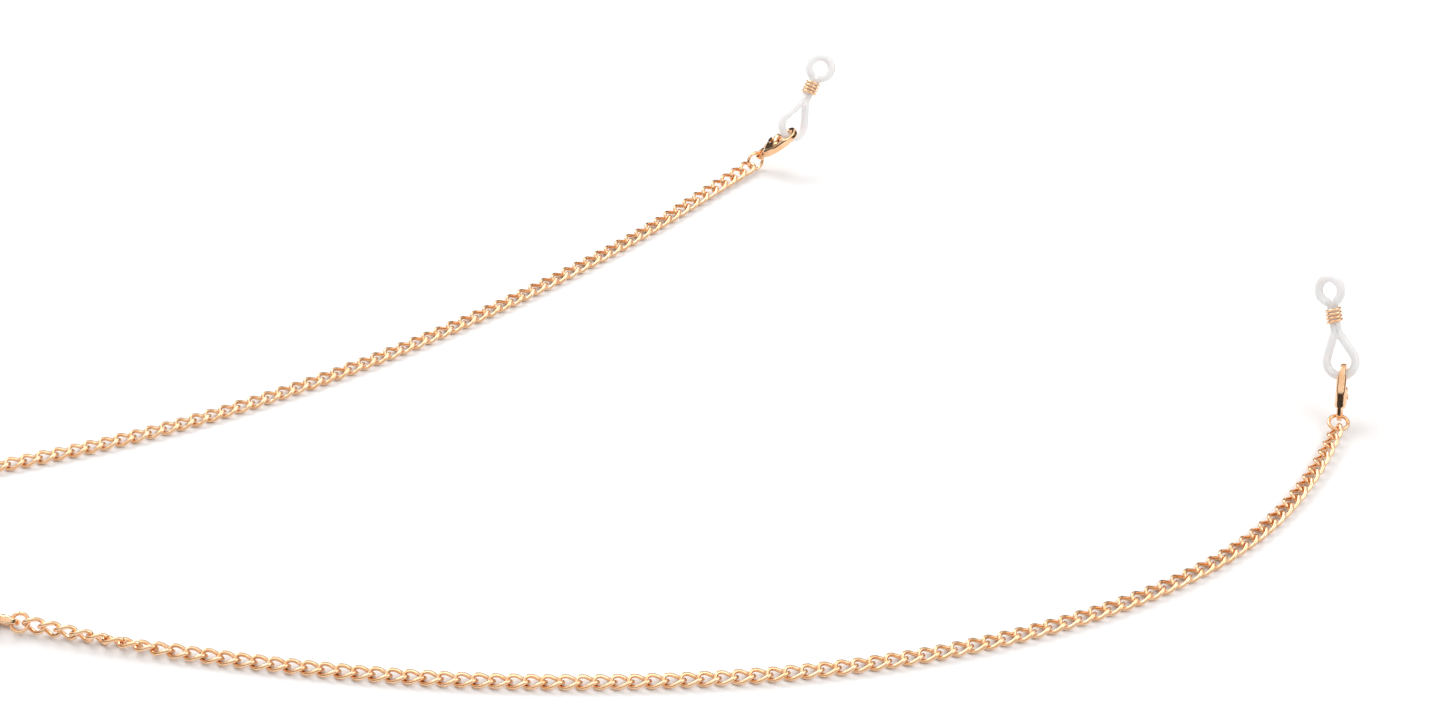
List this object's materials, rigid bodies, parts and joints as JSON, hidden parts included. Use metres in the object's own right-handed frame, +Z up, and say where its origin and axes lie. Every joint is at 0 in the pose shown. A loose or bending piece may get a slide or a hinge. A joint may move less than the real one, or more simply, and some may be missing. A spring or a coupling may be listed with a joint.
{
  "type": "eyeglasses chain strap",
  "caption": "Curb chain strap that hangs a pair of eyeglasses round the neck by silicone temple loops, with sliding coils and lobster clasps.",
  "frame": {"origin": "middle of the strap's box as it lies, on the surface it lies on", "axes": "+Z up from the surface, +X along the strap's longer way towards its right end, +Y away from the wearer's side towards its left end's loop"},
  "size_m": [0.338, 0.2102, 0.0291],
  "materials": {
    "gold": "polished rose gold plating",
    "silicone": "milky translucent silicone",
    "spring_steel": "plain spring strip"
  },
  "bodies": {
    "middle_clasp": {"middle_clasp_body": "gold", "middle_clasp_pin": "gold", "middle_clasp_spring": "spring_steel"},
    "middle_lever": {"middle_clasp_lever": "gold"},
    "catch_ring": {"catch_ring": "gold"},
    "middle_jump_ring": {"middle_jump_ring": "gold"},
    "front_chain_01": {"front_chain_01": "gold"},
    "front_chain_02": {"front_chain_02": "gold"},
    "front_chain_03": {"front_chain_03": "gold"},
    "front_chain_04": {"front_chain_04": "gold"},
    "front_chain_05": {"front_chain_05": "gold"},
    "front_chain_06": {"front_chain_06": "gold"},
    "front_chain_07": {"front_chain_07": "gold"},
    "front_chain_08": {"front_chain_08": "gold"},
    "front_chain_09": {"front_chain_09": "gold"},
    "front_chain_10": {"front_chain_10": "gold"},
    "front_chain_11": {"front_chain_11": "gold"},
    "front_chain_12": {"front_chain_12": "gold"},
    "front_chain_13": {"front_chain_13": "gold"},
    "front_chain_14": {"front_chain_14": "gold"},
    "front_chain_15": {"front_chain_15": "gold"},
    "back_chain_01": {"back_chain_01": "gold"},
    "back_chain_02": {"back_chain_02": "gold"},
    "back_chain_03": {"back_chain_03": "gold"},
    "back_chain_04": {"back_chain_04": "gold"},
    "back_chain_05": {"back_chain_05": "gold"},
    "back_chain_06": {"back_chain_06": "gold"},
    "back_chain_07": {"back_chain_07": "gold"},
    "back_chain_08": {"back_chain_08": "gold"},
    "back_chain_09": {"back_chain_09": "gold"},
    "back_chain_10": {"back_chain_10": "gold"},
    "back_chain_11": {"back_chain_11": "gold"},
    "back_chain_12": {"back_chain_12": "gold"},
    "back_chain_13": {"back_chain_13": "gold"},
    "back_chain_14": {"back_chain_14": "gold"},
    "back_chain_15": {"back_chain_15": "gold"},
    "right_jump_ring": {"right_jump_ring": "gold"},
    "right_clasp": {"right_clasp_body": "gold", "right_clasp_pin": "gold", "right_clasp_spring": "spring_steel"},
    "right_lever": {"right_clasp_lever": "gold"},
    "right_loop": {"right_silicone_loop": "silicone"},
    "right_coil": {"right_loop_coil": "gold"},
    "left_jump_ring": {"left_jump_ring": "gold"},
    "left_clasp": {"left_clasp_body": "gold", "left_clasp_pin": "gold", "left_clasp_spring": "spring_steel"},
    "left_lever": {"left_clasp_lever": "gold"},
    "left_loop": {"left_silicone_loop": "silicone"},
    "left_coil": {"left_loop_coil": "gold"}
  },
  "joints": [
    {"name": "middle_lever_turn", "type": "hinge", "parent": "middle_clasp", "child": "middle_lever", "pos_m": [-0.1192, -0.08563, 0.00353], "axis": [0.2051, 0.6767, 0.7071], "range_deg": [0, 38], "stiffness_Nm_per_rad": 0.004, "springref_deg": -20.05, "deforming": ["middle_clasp_spring"]},
    {"name": "catch_ring_turn", "type": "hinge", "parent": "middle_clasp", "child": "catch_ring", "pos_m": [-0.11249, -0.08659, 0.00251], "axis": [0.2051, 0.6767, 0.7071], "range_deg": [-15, 15]},
    {"name": "middle_jump_ring_turn", "type": "hinge", "parent": "middle_clasp", "child": "middle_jump_ring", "pos_m": [-0.12289, -0.08344, 0.0025], "axis": [0.2193, 0.6046, 0.7657], "range_deg": [-25, 25]},
    {"name": "front_chain_01_turn", "type": "hinge", "parent": "catch_ring", "child": "front_chain_01", "pos_m": [-0.11001, -0.08715, 0.00238], "axis": [0.2006, 0.7094, 0.6756], "range_deg": [-25, 25]},
    {"name": "front_chain_02_turn", "type": "hinge", "parent": "front_chain_01", "child": "front_chain_02", "pos_m": [-0.09056, -0.09188, 0.00167], "axis": [0, 0, 1], "range_deg": [-14, 14]},
    {"name": "front_chain_03_lift", "type": "hinge", "parent": "front_chain_02", "child": "front_chain_03", "pos_m": [-0.07046, -0.09602, 0.00122], "axis": [-0.1813, -0.9834, 0], "range_deg": [-14, 14]},
    {"name": "front_chain_04_turn", "type": "hinge", "parent": "front_chain_03", "child": "front_chain_04", "pos_m": [-0.05022, -0.09939, 0.0011], "axis": [0, 0, -1], "range_deg": [-14, 14]},
    {"name": "front_chain_05_lift", "type": "hinge", "parent": "front_chain_04", "child": "front_chain_05", "pos_m": [-0.02986, -0.10189, 0.00109], "axis": [0.0926, 0.9957, 0], "range_deg": [-14, 14]},
    {"name": "front_chain_06_turn", "type": "hinge", "parent": "front_chain_05", "child": "front_chain_06", "pos_m": [-0.00938, -0.1031, 0.00109], "axis": [0, 0, 1], "range_deg": [-14, 14]},
    {"name": "front_chain_07_lift", "type": "hinge", "parent": "front_chain_06", "child": "front_chain_07", "pos_m": [0.01114, -0.10306, 0.00109], "axis": [0.0318, -0.9995, 0], "range_deg": [-14, 14]},
    {"name": "front_chain_08_turn", "type": "hinge", "parent": "front_chain_07", "child": "front_chain_08", "pos_m": [0.03161, -0.10174, 0.00109], "axis": [0, 0, -1], "range_deg": [-14, 14]},
    {"name": "front_chain_09_lift", "type": "hinge", "parent": "front_chain_08", "child": "front_chain_09", "pos_m": [0.05193, -0.09894, 0.00109], "axis": [-0.1776, 0.9841, 0], "range_deg": [-14, 14]},
    {"name": "front_chain_10_turn", "type": "hinge", "parent": "front_chain_09", "child": "front_chain_10", "pos_m": [0.07193, -0.09436, 0.00109], "axis": [0, 0, 1], "range_deg": [-14, 14]},
    {"name": "front_chain_11_lift", "type": "hinge", "parent": "front_chain_10", "child": "front_chain_11", "pos_m": [0.09138, -0.08787, 0.00109], "axis": [0.3633, -0.9317, 0], "range_deg": [-14, 14]},
    {"name": "front_chain_12_turn", "type": "hinge", "parent": "front_chain_11", "child": "front_chain_12", "pos_m": [0.11005, -0.07936, 0.0011], "axis": [0, 0, -1], "range_deg": [-14, 14]},
    {"name": "front_chain_13_lift", "type": "hinge", "parent": "front_chain_12", "child": "front_chain_13", "pos_m": [0.12741, -0.06846, 0.00108], "axis": [-0.5967, 0.8025, 0], "range_deg": [-14, 14]},
    {"name": "front_chain_14_turn", "type": "hinge", "parent": "front_chain_13", "child": "front_chain_14", "pos_m": [0.14257, -0.05469, 0.0011], "axis": [0, 0, 1], "range_deg": [-14, 14]},
    {"name": "front_chain_15_lift", "type": "hinge", "parent": "front_chain_14", "child": "front_chain_15", "pos_m": [0.15457, -0.03809, 0.00134], "axis": [0.8591, -0.5119, 0], "range_deg": [-14, 14]},
    {"name": "back_chain_01_turn", "type": "hinge", "parent": "middle_jump_ring", "child": "back_chain_01", "pos_m": [-0.12693, -0.08232, 0.00278], "axis": [0.2193, 0.6046, 0.7657], "range_deg": [-25, 25]},
    {"name": "back_chain_02_turn", "type": "hinge", "parent": "back_chain_01", "child": "back_chain_02", "pos_m": [-0.14602, -0.07644, 0.00159], "axis": [0, 0, 1], "range_deg": [-14, 14]},
    {"name": "back_chain_03_lift", "type": "hinge", "parent": "back_chain_02", "child": "back_chain_03", "pos_m": [-0.16331, -0.06578, 0.00111], "axis": [0.7498, 0.6617, 0], "range_deg": [-14, 14]},
    {"name": "back_chain_04_turn", "type": "hinge", "parent": "back_chain_03", "child": "back_chain_04", "pos_m": [-0.16255, -0.04771, 0.00109], "axis": [0, 0, -1], "range_deg": [-14, 14]},
    {"name": "back_chain_05_lift", "type": "hinge", "parent": "back_chain_04", "child": "back_chain_05", "pos_m": [-0.14448, -0.03854, 0.00109], "axis": [-0.2917, 0.9565, 0], "range_deg": [-14, 14]},
    {"name": "back_chain_06_turn", "type": "hinge", "parent": "back_chain_05", "child": "back_chain_06", "pos_m": [-0.125, -0.03209, 0.00109], "axis": [0, 0, 1], "range_deg": [-14, 14]},
    {"name": "back_chain_07_lift", "type": "hinge", "parent": "back_chain_06", "child": "back_chain_07", "pos_m": [-0.10582, -0.02481, 0.00109], "axis": [0.3831, -0.9237, 0], "range_deg": [-14, 14]},
    {"name": "back_chain_08_turn", "type": "hinge", "parent": "back_chain_07", "child": "back_chain_08", "pos_m": [-0.08723, -0.01614, 0.00109], "axis": [0, 0, -1], "range_deg": [-14, 14]},
    {"name": "back_chain_09_lift", "type": "hinge", "parent": "back_chain_08", "child": "back_chain_09", "pos_m": [-0.06942, -0.00596, 0.00109], "axis": [-0.526, 0.8505, 0], "range_deg": [-14, 14]},
    {"name": "back_chain_10_turn", "type": "hinge", "parent": "back_chain_09", "child": "back_chain_10", "pos_m": [-0.05231, 0.00537, 0.00109], "axis": [0, 0, 1], "range_deg": [-14, 14]},
    {"name": "back_chain_11_lift", "type": "hinge", "parent": "back_chain_10", "child": "back_chain_11", "pos_m": [-0.03592, 0.0177, 0.00109], "axis": [0.624, -0.7814, 0], "range_deg": [-14, 14]},
    {"name": "back_chain_12_turn", "type": "hinge", "parent": "back_chain_11", "child": "back_chain_12", "pos_m": [-0.02023, 0.03093, 0.00111], "axis": [0, 0, -1], "range_deg": [-14, 14]},
    {"name": "back_chain_13_lift", "type": "hinge", "parent": "back_chain_12", "child": "back_chain_13", "pos_m": [-0.00519, 0.04489, 0.00107], "axis": [-0.6964, 0.7176, 0], "range_deg": [-14, 14]},
    {"name": "back_chain_14_turn", "type": "hinge", "parent": "back_chain_13", "child": "back_chain_14", "pos_m": [0.00917, 0.05954, 0.00107], "axis": [0, 0, 1], "range_deg": [-14, 14]},
    {"name": "back_chain_15_lift", "type": "hinge", "parent": "back_chain_14", "child": "back_chain_15", "pos_m": [0.02278, 0.07489, 0.00141], "axis": [0.7538, -0.6571, 0], "range_deg": [-14, 14]},
    {"name": "right_jump_ring_turn", "type": "hinge", "parent": "front_chain_15", "child": "right_jump_ring", "pos_m": [0.16398, -0.01934, 0.0019], "axis": [-0.113, 0.0867, -0.9898], "range_deg": [-25, 25]},
    {"name": "right_clasp_turn", "type": "hinge", "parent": "right_jump_ring", "child": "right_clasp", "pos_m": [0.1648, -0.0163, 0.00262], "axis": [0.9656, -0.26, 0.0017], "range_deg": [-20, 20]},
    {"name": "right_lever_turn", "type": "hinge", "parent": "right_clasp", "child": "right_lever", "pos_m": [0.16566, -0.01283, 0.00527], "axis": [0.9368, -0.3272, 0.1238], "range_deg": [0, 38], "stiffness_Nm_per_rad": 0.004, "springref_deg": -20.05, "deforming": ["right_clasp_spring"]},
    {"name": "right_loop_turn", "type": "hinge", "parent": "right_clasp", "child": "right_loop", "pos_m": [0.16576, -0.01016, 0.01158], "axis": [0.9368, -0.3272, 0.1238], "range_deg": [-10, 6]},
    {"name": "right_coil_slide", "type": "slide", "parent": "right_loop", "child": "right_coil", "axis": [-0.1599, 0.5397, 0.8265], "range_m": [-0.0008, 0]},
    {"name": "left_jump_ring_turn", "type": "hinge", "parent": "back_chain_15", "child": "left_jump_ring", "pos_m": [0.03683, 0.09048, 0.00206], "axis": [-0.7143, 0.6778, -0.1745], "range_deg": [-25, 25]},
    {"name": "left_clasp_turn", "type": "hinge", "parent": "left_jump_ring", "child": "left_clasp", "pos_m": [0.03879, 0.09235, 0.00382], "axis": [0.5694, 0.1632, -0.8057], "range_deg": [-20, 20]},
    {"name": "left_lever_turn", "type": "hinge", "parent": "left_clasp", "child": "left_lever", "pos_m": [0.04204, 0.09338, 0.00667], "axis": [0.6509, 0.0374, -0.7583], "range_deg": [0, 38], "stiffness_Nm_per_rad": 0.004, "springref_deg": -20.05, "deforming": ["left_clasp_spring"]},
    {"name": "left_loop_turn", "type": "hinge", "parent": "left_clasp", "child": "left_loop", "pos_m": [0.04705, 0.09129, 0.01086], "axis": [0.6509, 0.0374, -0.7583], "range_deg": [-10, 6]},
    {"name": "left_coil_slide", "type": "slide", "parent": "left_loop", "child": "left_coil", "axis": [0.4288, 0.5734, 0.6981], "range_m": [-0.0008, 0]}
  ]
}
